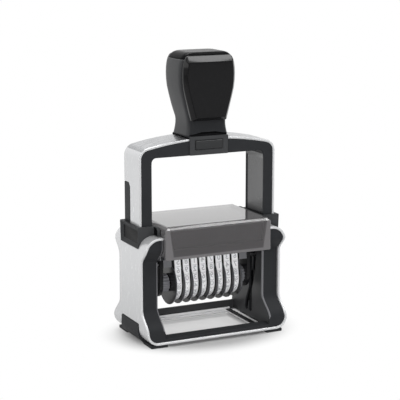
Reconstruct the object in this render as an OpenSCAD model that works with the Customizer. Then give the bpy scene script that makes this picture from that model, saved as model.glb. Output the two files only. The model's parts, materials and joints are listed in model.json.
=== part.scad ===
// Self-inking numbering stamp: a base with an ink cartridge, a bow with a handle,
// and a number unit that turns over as the bow is pressed down.
// Millimetres. X runs to the right, Y to the back, Z up. The origin is on the table, under the middle.

/* [Base] */
// Width over the silver outer band
base_w = 80.6; // [80:0.2:84]
// Height of the silver shoulders above the table
base_h = 57; // [56:0.5:58.5]
// Wall of the silver outer band
band_t = 1.3; // [1:0.1:1.6]
// Depth of the base at its foot
foot_depth = 45.4; // [45.4:0.2:50]
// Depth of the base at its waist
waist_depth = 28.8; // [27:0.2:31]
// Depth of the base at its shoulders
shoulder_depth = 41; // [36:0.5:43]
// Outer radius of the shoulders
shoulder_r = 8; // [6.5:0.5:8.5]
// Outer radius of the bottom corners
bottom_r = 6.5; // [5:0.5:7]
// How far the black frame stands back from the edge of the silver band
frame_setback = 0.6; // [0.3:0.1:1]
// How far a post stands back under the crease of its shoulder
crease = 0.8; // [0.4:0.1:1.2]
// Wall between the opening and the hollow of a post
inner_wall = 1.5; // [1.4:0.1:2]
// Height of the straight sides above the feet
straight_low = 6; // [5:0.5:7]
// Height over which the sides draw in to the waist
flare_low_h = 11.5; // [9:0.5:13]
// Height over which the sides swell to the shoulders
flare_high_h = 9; // [7:0.5:10]
// Height of the straight sides of the shoulders
straight_high = 5.5; // [4.5:0.5:6]
// Depth of the crease under the shoulders, measured from their top
crease_drop = 12.5; // [11:0.5:13.5]
// Height of the rear bottom rail
rail_h = 4.9; // [4:0.1:5.5]
// How much lower the front bottom rail is
rail_front_drop = 2.3; // [1.5:0.1:2.6]
// How far the window that the number unit prints through reaches to the front
window_front = 17.6; // [16:0.2:18.4]
// How far that window reaches to the back
window_back = 19.8; // [18:0.2:20.2]
// Height of the feet under the silver band
foot_h = 1.7; // [1.2:0.1:2]
// How far the feet and guide blocks stand proud of the silver band
proud = 0.4; // [0.2:0.1:0.8]

/* [Guide blocks] */
// Height of a guide block
block_h = 11; // [9:0.5:12]
// How far a guide block rises above the silver shoulders
block_rise = 4.5; // [3.5:0.5:5]
// Wall of a guide block before and behind the leg, at its foot
block_wall = 0.9; // [0.8:0.1:1.5]
// How much wider each side of a guide block is at its top
block_flare = 0.8; // [0:0.1:1.5]
// How far the latches of a guide block reach along the cover
latch_reach = 4.6; // [3:0.1:5]

/* [Bow] */
// Depth of the bow
bow_depth = 20; // [18:0.5:21]
// Width of a leg, seen from the front
leg_w = 7; // [6.4:0.1:7.2]
// Wall of the silver skin on the bow
skin_t = 1.3; // [0.8:0.1:1.5]
// Height of the top bar of the bow at its ends
bar_h = 5.6; // [5:0.1:7]
// How far the top bar is arched
bar_rise = 3.4; // [2.5:0.1:4.5]
// Outer corner radius of the bow
bow_r = 6; // [4.5:0.5:7]
// Room between the silver band and a leg
leg_setback = 0.25; // [0.2:0.05:0.6]
// Gap that a part slides with, on each side
slide_gap = 0.2; // [0.1:0.05:0.3]

/* [Press and turn] */
// Travel of the bow from rest to the printing stroke
travel = 31.5; // [30:0.5:33]
// Distance from the pivot to the printing face
print_r = 7.9; // [7.5:0.1:8.5]
// Diameter of a pivot pin
pivot_d = 3; // [2.6:0.1:3.6]
// Diameter of a cam pin
cam_d = 3; // [2.4:0.1:3.2]
// Distance from the pivot to a cam pin
cam_arm = 4.4; // [4.2:0.1:5]
// Depth of a cam groove in the wall of a post
groove_depth = 0.9; // [0.6:0.1:1]
// Radial running clearance of a pin or an axle
run_gap = 0.05; // [0.02:0.01:0.1]

/* [Number unit] */
// Number of bands
band_count = 8; // [6:1:9]
// Gap between a band and the disc beside it
band_gap = 0.27; // [0.15:0.01:0.5]
// Thickness of a band
band_rubber = 1; // [0.8:0.1:1.2]
// Radius of the pulley that drives a band
pulley_r = 8.1; // [7:0.1:8.4]
// Radius of a finger disc
disc_r = 11.6; // [11:0.1:12.4]
// Thickness of a finger disc
disc_t = 0.8; // [0.6:0.05:0.9]
// Distance from the pivot down to the wheel axle
axle_drop = 11.5; // [11:0.1:12]
// Diameter of the wheel axle
axle_d = 3.6; // [3:0.1:4.5]
// Half depth of the printing face
print_half = 3.3; // [2.8:0.1:3.6]
// Thickness of a side cheek
cheek_t = 2.2; // [1.8:0.1:2.6]
// Radius of the hub on each end of the axle
hub_r = 4.8; // [4:0.1:5.5]
// Length of the hub on each end of the axle
hub_l = 4.6; // [3.6:0.1:5]
// Room between a cheek and the wall of a post
cheek_room = 3.59; // [3.4:0.01:4]

/* [Cover and ink] */
// Height of the cover
cover_h = 16; // [15:0.5:16.5]
// Wall of the cover
cover_t = 1.5; // [1.2:0.1:1.8]
// How far the cover stands in front of the middle
cover_front = 22.6; // [21:0.1:22.7]
// How far the cover reaches behind the middle
cover_back = 19.6; // [19:0.1:21]
// How far the front of the cover hangs below its sides
cover_skirt = 1.1; // [0.5:0.1:1.5]
// Width of the bevel along the top of the cover
cover_bevel = 1.8; // [1.4:0.1:2.6]
// Height of the bevel along the top of the cover
cover_bevel_h = 1.6; // [1.2:0.1:3]
// Height of the ink cartridge
cartridge_h = 13.2; // [12:0.2:13.4]
// Wall of the ink cartridge
cartridge_t = 2.2; // [1.6:0.1:2.4]
// Thickness of the ink pad
pad_t = 5; // [3:0.5:6]
// Gap between the printing face and the ink pad at rest
pad_gap = 0.3; // [0.2:0.05:0.5]

/* [Handle] */
// Height of the handle above the bridge block
handle_h = 42.7; // [39:0.1:45]
// Half width of the grip at its widest
grip_half_w = 15.9; // [14:0.1:16.5]
// Half depth of the grip at its deepest
grip_half_d = 10.6; // [9.5:0.1:11]
// Height of the gloss cap on top of the grip
cap_h = 3.4; // [2.5:0.1:4]
// How far the gloss plates stand out, measured from the middle
plate_y = 13; // [12.2:0.1:14]
// Half width of the bridge block
bridge_half_w = 11; // [10:0.1:12]
// How far the bridge block stands proud of the bow
bridge_proud = 0.7; // [0.5:0.1:1.5]
// Thickness of the bridge block over the bow
bridge_top = 0.7; // [0.6:0.1:2]
// Width of the lock button
button_w = 15.4; // [12:0.2:16]
// Height of the gloss plates' lower edge above the bridge block
plate_low = 7.8; // [7:0.1:9]
// How far the gloss plates' upper edge lies below the top of the handle
plate_drop = 1.6; // [1.4:0.1:3]
// Width of the bevel round a gloss plate
plate_bevel = 1.9; // [1:0.1:2.2]
// Height of the bevel along the top of a gloss plate
plate_bevel_top = 3.3; // [2:0.1:4]
// Height of the lock button
button_h = 4.6; // [3.5:0.1:4.8]
// Travel of the lock button
button_travel = 2; // [1.5:0.1:2.5]
// Diameter of a handle screw
screw_d = 3; // [2.5:0.1:3.5]

/* [Hidden] */
$fn = 64;
eps = 0.01;
// How far a cut runs on past a near face, and past everything
over = 1;
past = 100;

// Stations of the base, from the table up
frame_z = foot_h + band_t;
rail_top = frame_z + rail_h;
rail_front_top = rail_top - rail_front_drop;
rail_lip = 0.8;
rail_edge_z = frame_z + rail_lip;
rail_flat = 1.2;
flare_low = foot_h + straight_low;
waist_low = flare_low + flare_low_h;
flare_high = base_h - straight_high;
waist_high = flare_high - flare_high_h;
flare_steps = 10;
crease_z = base_h - crease_drop;

// Widths, from the outside in
band_half = base_w / 2;
frame_half = band_half - band_t;
leg_out = frame_half - leg_setback;
leg_in = leg_out - leg_w;
leg_half_y = bow_depth / 2;
opening_half = leg_in - slide_gap - inner_wall;
seat_gap = 0.1;

// Silver floor that is left beside and behind the window, and the sill along its sides
floor_side = 2.6;
floor_back = 2.5;
lip_t = 0.8;
lip_h = 1.2;
sill_out = opening_half - floor_side;
sill_w = 2.8;
sill_rise = 0.3;
sill_in = sill_out - sill_w;

// Press and turn
print_floor = 0.1;
pivot_z = travel + print_r + print_floor;
pivot_r = pivot_d / 2;
cam_r = cam_d / 2;
leg_below = 3.9;
leg_z = pivot_z - leg_below;
toe = 1.5;
stop_gap = 0.3;
channel_z = leg_z - travel - stop_gap;
pin_depth = 4;
slot_gap = 0.15;
cam_step = 6;

// Number unit
print_z = pivot_z + print_r;
axle_z = pivot_z - axle_drop;
axle_r = axle_d / 2;
band_slack = 0.3;
band_in_r = pulley_r + band_slack;
band_out_r = band_in_r + band_rubber;
loop_shoulder_drop = 3.6;
loop_shoulder_z = print_z - loop_shoulder_drop;
loop_shoulder_half = 7.2;
disc_gap = 0.4;
hub_gap = 0.3;
cheek_rim = 0.8;
cheek_r = cam_arm + cam_r + cheek_rim;
cheek_head = 4.2;
axle_end = 0.8;

// The bands share the room between the posts, cheeks and hubs
cheek_out = opening_half - cheek_room;
cheek_in = cheek_out - cheek_t;
hub_in = cheek_in - hub_l;
stack_half = hub_in - hub_gap - disc_t / 2;
band_pitch = 2 * stack_half / band_count;
band_w = band_pitch - disc_t - 2 * band_gap;
function band_x(i) = (i - (band_count + 1) / 2) * band_pitch;
function disc_x(i) = band_x(i) - band_pitch / 2;

// Cover and ink
pad_z = print_z + pad_gap;
pad_recess = 1.1;
cartridge_z = pad_z - pad_recess;
ledge_z = cartridge_z - seat_gap;
ledge_t = 2.8;
ledge_gap = 0.5;
ledge_in = cheek_out + ledge_gap;
ledge_half_y = waist_depth / 2;
cover_half = opening_half - seat_gap;
cover_top = ledge_z + cover_h;
cartridge_gap = 0.6;
cartridge_half = cover_half - cover_t - cartridge_gap;
cartridge_front = cover_front - cover_t - cartridge_gap;
cartridge_pull = 1.6;
cartridge_back = cover_back + cartridge_pull;
cartridge_shelf = 1.4;
mouth_gap = 0.3;

// Guide blocks
block_top = base_h + block_rise;
block_z = block_top - block_h;
block_out = band_half + proud;
block_in = opening_half + seat_gap;
block_half_low = leg_half_y + slide_gap + block_wall;
block_half_high = block_half_low + block_flare;
latch_t = 1.6;
latch_z = base_h + seat_gap;
latch_y = block_half_high + latch_reach;
latch_slope = 1.5;

// Feet
foot_plate_h = 9.1;
foot_half_high = 10.9;
foot_half_low = 12.6;
foot_in = opening_half;
foot_pad_reach = 1.5;
foot_pad_in = foot_in - foot_pad_reach;
foot_pad_inset = 2.5;
foot_pad_out = band_half - foot_pad_inset;
foot_pad_end = 1;
foot_pad_half_y = foot_depth / 2 - foot_pad_end;

// Bow
bow_room = 2;
bow_in_z = cover_top + travel + bow_room;
bow_in_r = 2.5;
bar_top = bow_in_z + bar_h + bar_rise;
corner_x = leg_out - bow_r;
arch_r = (corner_x * corner_x + bar_rise * bar_rise) / (2 * bar_rise);
corner_reach = arch_r - bow_r;
corner_z = bar_top - arch_r + sqrt(corner_reach * corner_reach - corner_x * corner_x);
skin_sink = 8;
skin_z = block_top - skin_sink;
rail_y = 2.5;
rail_drop = 14;
rail_z = bow_in_z - rail_drop;
rail_chamfer_y = 1.5;
rail_chamfer_z = 2;
rail_foot = 5;
spring_y = 6;
spring_mean_r = 1.3;
spring_wire_r = 0.25;
spring_turns = 16;
spring_x = (leg_in + leg_out - skin_t) / 2;
spring_sink = 1.5;
spring_top = block_top - spring_sink;
spring_gap = 0.25;
spring_bore_r = spring_mean_r + spring_wire_r + spring_gap;

// Handle
bridge_half_y = leg_half_y + bridge_proud;
bridge_z = bar_top + bridge_top;
button_rise = 2.9;
button_z = bow_in_z + button_rise;
button_bury = 1;
button_back = leg_half_y - button_bury;
button_proud = 0.4;
button_gap = 0.12;
screw_x = 4.6;
screw_y = 2;
screw_head_lip = 1.2;
screw_head_r = screw_d / 2 + screw_head_lip;
screw_head_h = 2;
screw_bite = 10;

// Extrude an outline drawn in X and Z along Y, from y0 to y1
module from_y(y0, y1) {
  translate([0, y1, 0]) rotate([90, 0, 0]) linear_extrude(height = y1 - y0) children();
}

// Extrude an outline drawn in Y and Z along X, from x0 to x1
module from_x(x0, x1) {
  translate([x0, 0, 0]) rotate([90, 0, 90]) linear_extrude(height = x1 - x0) children();
}

// A round bar along X
module bar_x(x0, x1, y, z, r) {
  translate([x0, y, z]) rotate([0, 90, 0]) cylinder(h = x1 - x0, r = r);
}

// A box between two corners
module box(low, high) {
  translate(low) cube(high - low);
}

// The child on the right, or mirrored to the left
module on_side(side) {
  if (side > 0) {
    children();
  } else {
    mirror([1, 0, 0]) children();
  }
}

module both_sides() {
  on_side(1) children();
  on_side(-1) children();
}

// Smooth step from 0 to 1
function ease(t) = (1 - cos(180 * min(1, max(0, t)))) / 2;
function blend(a, b, t) = a + (b - a) * ease(t);

// Half depth of the base at height z: foot, waist and shoulder
function half_depth(z) = z < waist_low
  ? blend(foot_depth / 2, waist_depth / 2, (z - flare_low) / (waist_low - flare_low))
  : blend(waist_depth / 2, shoulder_depth / 2, (z - waist_high) / (flare_high - waist_high));

base_stations = concat(
  [0],
  [for (i = [0:flare_steps]) flare_low + (waist_low - flare_low) * i / flare_steps],
  [for (i = [0:flare_steps]) waist_high + (flare_high - waist_high) * i / flare_steps],
  [base_h + over]
);

// An outline that is the same on its left and right, from its right half
module side_outline(right) {
  left = [for (i = [len(right) - 1:-1:0]) [-right[i][0], right[i][1]]];
  polygon(concat(right, left));
}

// Side view of the silver band, drawn in Y and Z
module hourglass() {
  side_outline([for (z = base_stations) [half_depth(z), z]]);
}

// Half depth of the black frame under the crease of the shoulder, where it stands back further
function post_depth(z) =
  half_depth(z) - frame_setback - crease * ease((z - flare_low) / (waist_low - flare_low));

// Side view of the black frame, drawn in Y and Z
module frame_side() {
  lower = [for (z = base_stations) if (z < crease_z) [post_depth(z), z]];
  upper = [for (z = base_stations) if (z > crease_z) [half_depth(z) - frame_setback, z]];
  fold = [[post_depth(crease_z), crease_z], [half_depth(crease_z) - frame_setback, crease_z]];
  side_outline(concat(lower, fold, upper));
}

// Front view of a rounded frame, drawn in X and Z
module rounded_outline(half_w, low, high, r_low, r_high) {
  translate([-half_w, low + r_low]) square([2 * half_w, high - low - r_low - r_high]);
  translate([r_low - half_w, low]) square([2 * (half_w - r_low), r_low + eps]);
  translate([r_high - half_w, high - r_high - eps]) square([2 * (half_w - r_high), r_high + eps]);
  for (s = [-1, 1]) {
    translate([s * (half_w - r_low), low + r_low]) circle(r_low);
    translate([s * (half_w - r_high), high - r_high]) circle(r_high);
  }
}

module frame_outline() {
  rounded_outline(frame_half, frame_z, base_h - band_t, bottom_r - band_t, shoulder_r - band_t);
}

module band_outline() {
  rounded_outline(band_half, foot_h, base_h, bottom_r, shoulder_r);
}

// Side view of a guide block
module block_side() {
  polygon([[-block_half_low, block_z], [block_half_low, block_z],
           [block_half_high, block_top], [-block_half_high, block_top]]);
}

// Side view of the plate of a foot
module foot_side() {
  polygon([[-foot_half_low, 0], [foot_half_low, 0],
           [foot_half_high, foot_h + foot_plate_h], [-foot_half_high, foot_h + foot_plate_h]]);
}

module outer_band() {
  color("silver") difference() {
    intersection() {
      from_y(-past, past) difference() {
        band_outline();
        frame_outline();
        translate([-opening_half, rail_top]) square([2 * opening_half, past]);
      }
      from_x(-past, past) hourglass();
    }
    both_sides() from_x(opening_half - over, past) block_side();
    both_sides() from_x(foot_in, past) foot_side();
    box([-sill_in, -window_front, -over], [sill_in, window_back - floor_back, rail_top]);
  }
  color("silver") box([-sill_out, window_back - lip_t, frame_z - eps],
                      [sill_out, window_back, frame_z + lip_h]);
}

// Centre of the cam pin when the number unit has turned by angle a
function cam_point(a) = [-cam_arm * cos(a), pivot_z - travel * a / 180 - cam_arm * sin(a)];

// Unit normal of the cam path at angle a
function cam_normal(a) =
  let (dy = cam_arm * sin(a), dz = -travel / PI - cam_arm * cos(a))
  [-dz, dy] / norm([dy, dz]);

// Cam groove, drawn in Y and Z
module cam_path() {
  w = cam_r + slot_gap;
  steps = [for (a = [0:cam_step:180]) a];
  polygon(concat(
    [for (a = steps) cam_point(a) + w * cam_normal(a)],
    [for (i = [len(steps) - 1:-1:0]) cam_point(steps[i]) - w * cam_normal(steps[i])]
  ));
  translate(cam_point(0)) circle(w);
  translate(cam_point(180)) circle(w);
}

// Upright slot for a pivot pin, drawn in Y and Z
module pivot_path() {
  w = pivot_r + slot_gap;
  translate([-w, pivot_z - travel]) square([2 * w, travel]);
  translate([0, pivot_z]) circle(w);
  translate([0, pivot_z - travel]) circle(w);
}

// What is cut out of the right post: the hollow for a leg, the seat of a guide block, the two slots
module post_cuts() {
  box([leg_in - slide_gap, -leg_half_y - slide_gap, channel_z],
      [frame_half + over, leg_half_y + slide_gap, base_h]);
  from_x(opening_half - over, past) block_side();
  from_x(opening_half - over, leg_in) pivot_path();
  from_x(opening_half - over, opening_half + groove_depth) cam_path();
}

// Slope on the outer edge of a bottom rail, drawn in Y and Z, from its inner edge and its top
module rail_slope(inner, top) {
  outer = foot_depth / 2 + over;
  polygon([[outer, rail_edge_z], [inner + rail_flat, top + eps], [outer, top + eps]]);
}

module base_frame() {
  color("dimgray") {
    difference() {
      intersection() {
        from_y(-past, past) difference() {
          frame_outline();
          translate([-opening_half, rail_top]) square([2 * opening_half, past]);
        }
        from_x(-past, past) frame_side();
      }
      box([-opening_half, -window_front, 0], [opening_half, window_back, rail_top + over]);
      box([-opening_half, -past, rail_front_top], [opening_half, 0, rail_top + over]);
      from_x(-opening_half, opening_half) rail_slope(window_back, rail_top);
      from_x(-opening_half, opening_half) mirror([1, 0]) rail_slope(window_front, rail_front_top);
      both_sides() post_cuts();
    }
    both_sides() {
      box([ledge_in, -ledge_half_y, ledge_z - ledge_t],
          [opening_half + eps, ledge_half_y, ledge_z]);
      box([sill_in, -window_front - eps, frame_z],
          [sill_out, window_back - lip_t, frame_z + sill_rise]);
    }
  }
}

// Side view of the latches before and behind a guide block, which hold the cover
module latch_side() {
  side_outline([[latch_y, latch_z], [latch_y, block_top - latch_slope], [latch_y - latch_slope, block_top]]);
}

module guide_block(side) {
  color("dimgray") on_side(side) difference() {
    union() {
      from_x(block_in, block_out) block_side();
      from_x(block_in, block_in + latch_t) latch_side();
    }
    box([leg_in - slide_gap, -leg_half_y - slide_gap, 0],
        [leg_out + slide_gap, leg_half_y + slide_gap, past]);
  }
}

module foot(side) {
  color("dimgray") on_side(side) {
    intersection() {
      from_x(foot_in, past) foot_side();
      from_y(-past, past) difference() {
        rounded_outline(band_half + proud, 0, base_h, bottom_r, shoulder_r);
        frame_outline();
      }
    }
    for (s = [-1, 1]) {
      mirror([0, s < 0 ? 1 : 0, 0])
        box([foot_pad_in, foot_half_high, 0], [foot_pad_out, foot_pad_half_y, foot_h]);
    }
  }
}

// Outline of the cover from the front, drawn in X and Z, drawn in by a wall
module cover_front_view(t) {
  w = cover_half - t;
  polygon([[-w, 0], [w, 0], [w, cover_top - cover_bevel_h - t / 2], [w - cover_bevel, cover_top - t],
           [cover_bevel - w, cover_top - t], [-w, cover_top - cover_bevel_h - t / 2]]);
}

// Outline of the cover from the side, drawn in Y and Z, drawn in by a wall
module cover_side_view(t) {
  front = t - cover_front;
  back = cover_back - t;
  bevel_z = cover_top - cover_bevel_h - t / 2;
  polygon([[front, 0], [back, 0], [back, bevel_z], [back - cover_bevel, cover_top - t],
           [front + cover_bevel, cover_top - t], [front, bevel_z]]);
}

module cover_body(t) {
  intersection() {
    from_y(-past, past) cover_front_view(t);
    from_x(-past, past) cover_side_view(t);
  }
}

module cover() {
  mouth_half = cartridge_half + mouth_gap;
  color("gray", 0.6) difference() {
    cover_body(0);
    cover_body(cover_t);
    box([-past, -past, -over], [past, past, ledge_z - cover_skirt]);
    box([-past, cover_t - cover_front, 0], [past, past, ledge_z]);
    box([-mouth_half, 0, 0], [mouth_half, past, cartridge_z + cartridge_h + mouth_gap]);
  }
}

module ink_cartridge() {
  rim_half = cartridge_half - cartridge_t;
  pad_front = cartridge_front - cartridge_t;
  pad_top = pad_z + pad_t;
  color("black") difference() {
    box([-cartridge_half, -cartridge_front, cartridge_z],
        [cartridge_half, cartridge_back, cartridge_z + cartridge_h]);
    box([-rim_half, -past, 0], [rim_half, past, pad_z]);
    box([-rim_half, -pad_front, 0], [rim_half, pad_front, pad_top]);
    box([-rim_half, -pad_front, pad_top + cartridge_shelf], [rim_half, pad_front, past]);
  }
}

module ink_pad() {
  half_x = cartridge_half - cartridge_t - slide_gap;
  half_y = cartridge_front - cartridge_t - slide_gap;
  color("darkslateblue") box([-half_x, -half_y, pad_z], [half_x, half_y, pad_z + pad_t]);
}

// Centre of ring k of a coil that climbs from its first to its last ring
function coil_centre(k, rings, per_turn, mean_r, rise) =
  [mean_r * cos(360 * k / per_turn), mean_r * sin(360 * k / per_turn), rise * k / rings];

// A coil as one tube round an upright axis
module coil(turns, mean_r, wire_r, height) {
  sides = 6;
  per_turn = 8;
  rings = turns * per_turn;
  rise = height - 2 * wire_r;
  centres = [for (k = [0:rings]) coil_centre(k, rings, per_turn, mean_r, rise)];
  echo(least_gap_between_turns = min([for (k = [0:rings - per_turn])
    norm(centres[k + per_turn] - centres[k]) - 2 * wire_r]));
  points = [for (k = [0:rings]) for (j = [0:sides - 1])
    let (a = 360 * k / per_turn, b = 360 * j / sides)
    centres[k] + wire_r * [cos(b) * cos(a), cos(b) * sin(a), 1 + sin(b)]];
  walls = [for (k = [0:rings - 1]) for (j = [0:sides - 1])
    let (n = (j + 1) % sides, p = k * sides + j, q = k * sides + n)
    each [[p, q, q + sides], [p, q + sides, p + sides]]];
  caps = [for (j = [1:sides - 2]) each [[0, j + 1, j],
    [rings * sides, rings * sides + j, rings * sides + j + 1]]];
  polyhedron(points = points, faces = concat(walls, caps));
}

module return_spring(side) {
  color("lightgray") on_side(side) translate([spring_x, spring_y, channel_z + eps])
    coil(spring_turns, spring_mean_r, spring_wire_r, spring_top - channel_z - 2 * eps);
}

// Front view of the whole bow, drawn in X and Z, drawn in by a wall: the corners run smoothly into the arch
module bow_outline(t) {
  touch_x = corner_x * (arch_r - t) / corner_reach;
  intersection() {
    translate([0, bar_top - arch_r]) circle(arch_r - t, $fn = 720);
    translate([-touch_x, 0]) square([2 * touch_x, past * 2]);
  }
  translate([t - leg_out, 0]) square([2 * (leg_out - t), corner_z]);
  for (s = [-1, 1]) {
    translate([s * corner_x, corner_z]) circle(bow_r - t);
  }
}

// The open middle of the bow, drawn in X and Z
module bow_opening() {
  rounded_outline(leg_in, 0, bow_in_z, over, bow_in_r);
}

// Side view of the cut in the silver skin that bares the rail of a leg
module rail_side(grow) {
  polygon([[rail_y - grow, 0], [past, 0], [past, rail_z + grow],
           [rail_y + rail_chamfer_y, rail_z + grow], [rail_y - grow, rail_z - rail_chamfer_z]]);
}

// Cut on the outer corner at the foot of a leg, drawn in X and Z, so that it clears the rounded base
module leg_toe() {
  edge = leg_out - skin_t;
  polygon([[edge - toe, leg_z - eps], [edge + over, leg_z - eps], [edge + over, leg_z + toe + over]]);
}

// Pocket of the lock button
module button_pocket() {
  half = button_w / 2 + button_gap;
  box([-half, -past, button_z - button_gap],
      [half, button_travel + slide_gap - button_back, button_z + button_h + button_gap]);
}

module screw_holes(r) {
  for (s = [-1, 1]) {
    translate([s * screw_x, screw_y, 0]) cylinder(h = 2 * past, r = r);
  }
}

module bow_liner() {
  color("dimgray") difference() {
    union() {
      from_y(-leg_half_y, leg_half_y) difference() {
        bow_outline(skin_t);
        bow_opening();
      }
      both_sides() intersection() {
        box([leg_in + over, rail_y, leg_z + rail_foot], [leg_out - seat_gap, leg_half_y, past]);
        from_x(0, past) rail_side(0);
      }
    }
    box([-past, -past, -over], [past, past, leg_z]);
    button_pocket();
    screw_holes(screw_d / 2 + run_gap);
    for (s = [-1, 1]) {
      translate([s * screw_x, screw_y, 0])
        cylinder(h = bow_in_z + screw_head_h, r = screw_head_r + run_gap);
    }
    both_sides() {
      from_y(-past, past) leg_toe();
      bar_x(leg_in - over, leg_in + pin_depth + stop_gap, 0, pivot_z, pivot_r + run_gap);
      translate([spring_x, spring_y, 0]) cylinder(h = spring_top, r = spring_bore_r);
    }
  }
}

module bow_band() {
  color("silver") difference() {
    from_y(-leg_half_y, leg_half_y) difference() {
      bow_outline(0);
      bow_outline(skin_t);
    }
    box([-past, -past, -over], [past, past, skin_z]);
    both_sides() from_x(0, past) rail_side(run_gap);
    screw_holes(screw_d / 2 + run_gap);
  }
}

module bridge_block() {
  color("dimgray") difference() {
    box([-bridge_half_w, -bridge_half_y, bow_in_z], [bridge_half_w, bridge_half_y, bridge_z]);
    from_y(-leg_half_y, leg_half_y) bow_outline(0);
    button_pocket();
    screw_holes(screw_d / 2 + run_gap);
  }
}

module lock_button() {
  color("darkslategray") box([-button_w / 2, -bridge_half_y - button_proud, button_z],
                             [button_w / 2, -button_back, button_z + button_h]);
}

// Stations of the grip: share of its height, of its half width and of its half depth
grip_stations = [[0, 0.74, 1], [0.08, 0.7, 0.94], [0.17, 0.69, 0.9], [0.27, 0.745, 0.9],
                 [0.385, 0.835, 0.92], [0.57, 0.965, 0.96], [0.735, 1, 1], [0.865, 0.97, 1],
                 [0.94, 0.89, 0.97], [0.985, 0.76, 0.9], [1, 0.62, 0.78]];

// Smooth curve through the stations: piece i, at t from 0 to 1
function grip_at(i, t) =
  let (last = len(grip_stations) - 1,
       a = grip_stations[max(0, i - 1)], b = grip_stations[i],
       c = grip_stations[min(last, i + 1)], d = grip_stations[min(last, i + 2)])
  b + t / 2 * (c - a + t * (2 * a - 5 * b + 4 * c - d + t * (3 * b - a - 3 * c + d)));

grip_rings = [for (i = [0:len(grip_stations) - 2]) for (t = [0, 0.5]) grip_at(i, t)];
grip_all = concat(grip_rings, [grip_stations[len(grip_stations) - 1]]);
grip_power = 7;

// One ring of the grip: a rounded rectangle as a superellipse
function grip_ring(s, sides) = [for (j = [0:sides - 1])
  let (a = 360 * j / sides, c = cos(a), n = sin(a))
  [grip_half_w * s[1] * sign(c) * pow(abs(c), 2 / grip_power),
   grip_half_d * s[2] * sign(n) * pow(abs(n), 2 / grip_power),
   bridge_z + handle_h * s[0]]];

// The whole grip, from the bridge block to the top
module grip() {
  sides = 32;
  rings = len(grip_all);
  points = [for (s = grip_all) each grip_ring(s, sides)];
  walls = [for (k = [0:rings - 2]) for (j = [0:sides - 1])
    let (n = (j + 1) % sides, p = k * sides + j, q = k * sides + n)
    each [[p, q + sides, q], [p, p + sides, q + sides]]];
  bottom = [[for (j = [0:sides - 1]) j]];
  top = [[for (j = [sides - 1:-1:0]) (rings - 1) * sides + j]];
  polyhedron(points = points, faces = concat(walls, bottom, top));
}

cap_z = bridge_z + handle_h - cap_h;
plate_high = handle_h - plate_drop;
plate_edge = 1.2;
plate_skin = 0.2;

// Half width of the grip at a height above the bridge block
function grip_w(h) = lookup(h, [for (s = grip_all) [s[0] * handle_h, grip_half_w * s[1]]]);

module handle_core() {
  color("gray") difference() {
    grip();
    box([-past, -past, cap_z], [past, past, 3 * past]);
    translate([0, 0, bridge_z + screw_bite - 2 * past]) screw_holes(screw_d / 2);
  }
}

module handle_cap() {
  color("black") intersection() {
    grip();
    box([-past, -past, cap_z], [past, past, 3 * past]);
  }
}

// Front view of a gloss plate, drawn in X and Z, drawn in by an edge, and at its top by a bevel
module plate_outline(inset, top_inset) {
  low = plate_low + inset;
  high = plate_high - top_inset;
  between = [for (s = grip_all) if (s[0] * handle_h > low && s[0] * handle_h < high) s[0] * handle_h];
  side_outline([for (h = concat([low], between, [high])) [grip_w(h) - plate_edge - inset, bridge_z + h]]);
}

module front_plate() {
  difference() {
    hull() {
      from_y(-grip_half_d, -grip_half_d / 2) plate_outline(0, 0);
      from_y(-plate_y, plate_skin - plate_y) plate_outline(plate_bevel, plate_bevel_top);
    }
    grip();
  }
}

module handle_plate(side) {
  color("black") mirror([0, side < 0 ? 0 : 1, 0]) front_plate();
}

module handle_screws() {
  color("lightgray") for (s = [-1, 1]) {
    translate([s * screw_x, screw_y, bow_in_z]) {
      cylinder(h = screw_head_h, r = screw_head_r);
      cylinder(h = bridge_z + screw_bite - bow_in_z, r = screw_d / 2);
    }
  }
}

// Side view of a cheek: an arm from the axle past the pivot, cut flat at its head
module cheek_side() {
  translate([0, axle_z]) circle(cheek_r);
  translate([-cheek_r, axle_z]) square([2 * cheek_r, axle_drop]);
  intersection() {
    translate([0, pivot_z]) circle(cheek_r);
    translate([-cheek_r, pivot_z - cheek_r]) square([2 * cheek_r, cheek_r + cheek_head]);
  }
}

module cheek(side) {
  color("black") on_side(side) difference() {
    from_x(cheek_in, cheek_out) cheek_side();
    bar_x(0, past, 0, axle_z, axle_r);
    bar_x(0, past, 0, pivot_z, pivot_r);
    bar_x(0, past, -cam_arm, pivot_z, cam_r);
  }
}

// Side view of the loop of a band, drawn in Y and Z, drawn in by t
module loop_side(t) {
  r = band_out_r - t;
  translate([0, axle_z]) circle(r);
  top = print_half - t / 2;
  mid = loop_shoulder_half - t;
  polygon([[-r, axle_z], [r, axle_z], [mid, loop_shoulder_z - t / 2], [top, print_z - t],
           [-top, print_z - t], [-mid, loop_shoulder_z - t / 2]]);
}

module number_band(i) {
  color("white") from_x(band_x(i) - band_w / 2, band_x(i) + band_w / 2) difference() {
    loop_side(0);
    loop_side(band_rubber);
  }
}

// A finger disc of the row, with its middle at x
module disc(x) {
  bar_x(x - disc_t / 2, x + disc_t / 2, 0, axle_z, disc_r);
}

module number_wheel(i) {
  color("black") difference() {
    union() {
      disc(disc_x(i));
      bar_x(disc_x(i), band_x(i) + band_w / 2, 0, axle_z, pulley_r);
    }
    bar_x(-past, past, 0, axle_z, axle_r + run_gap);
  }
}

module end_disc() {
  color("black") difference() {
    disc(disc_x(band_count + 1));
    bar_x(-past, past, 0, axle_z, axle_r);
  }
}

module anvil() {
  color("dimgray") difference() {
    from_x(-cheek_in, cheek_in) difference() {
      loop_side(band_rubber);
      translate([-past, axle_z - past]) square([2 * past, past]);
    }
    bar_x(-past, past, 0, axle_z, disc_r + disc_gap);
  }
}

module wheel_axle() {
  color("lightgray") bar_x(-cheek_out - axle_end, cheek_out + axle_end, 0, axle_z, axle_r);
}

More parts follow.
